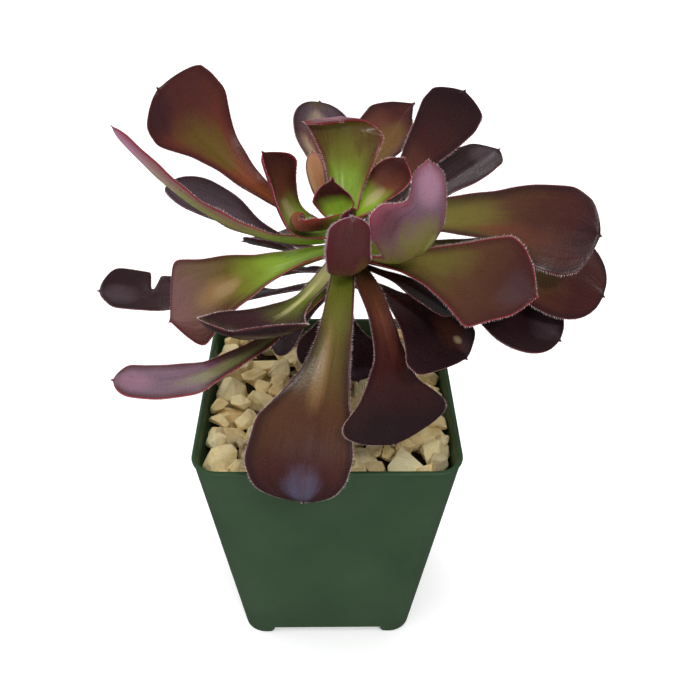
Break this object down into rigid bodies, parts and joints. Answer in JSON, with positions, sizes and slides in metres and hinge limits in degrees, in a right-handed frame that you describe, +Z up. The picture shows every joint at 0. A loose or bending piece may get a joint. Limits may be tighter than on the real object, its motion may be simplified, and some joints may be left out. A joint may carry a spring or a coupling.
{
  "type": "potted aeonium",
  "caption": "Dark purple aeonium: a rosette of spoon-shaped leaves on a bare woody stem, in a tapered square nursery pot topped with gravel.",
  "frame": {"origin": "on the ground, under the middle of the box that holds the pot and the leaves; the pot's axis stands at x -5.7 mm, y -2.7 mm", "axes": "+Z up; -Y is the front, the side the broad downturned leaf hangs over; +X is the plant's right, where the far leaves reach out"},
  "size_m": [0.1668, 0.1204, 0.2063],
  "materials": {
    "pot": "satin",
    "soil": "matte",
    "gravel": "matte",
    "stem": "matte",
    "leaf": "satin",
    "young": "satin"
  },
  "bodies": {
    "root": {"gravel": "gravel", "heart_leaf": "young", "heart_leaf_small": "young", "leaf_back_brown": "leaf", "leaf_back_deep": "leaf", "leaf_back_far": "leaf", "leaf_back_left": "leaf", "leaf_back_low": "leaf", "leaf_back_right": "leaf", "leaf_back_right_tall": "leaf", "leaf_back_side": "leaf", "leaf_far_left": "leaf", "leaf_far_right": "leaf", "leaf_front": "leaf", "leaf_front_right": "leaf", "leaf_left_behind": "leaf", "leaf_left_long": "leaf", "leaf_left_small": "leaf", "leaf_left_spoon": "leaf", "leaf_left_squared": "leaf", "leaf_lower_left": "leaf", "leaf_right_broad": "leaf", "leaf_right_low": "leaf", "leaf_right_shaded": "leaf", "leaf_right_squared": "leaf", "leaf_right_under": "leaf", "leaf_shaded_front": "leaf", "leaf_shaded_front_left": "leaf", "leaf_shaded_left": "leaf", "leaf_upper_left": "leaf", "pot": "pot", "soil": "soil", "stem": "stem", "young_leaf_back": "young", "young_leaf_front": "young", "young_leaf_front_right": "young", "young_leaf_left": "young", "young_leaf_right": "young", "young_leaf_rolled": "young", "young_leaf_sliver": "young"}
  },
  "joints": []
}
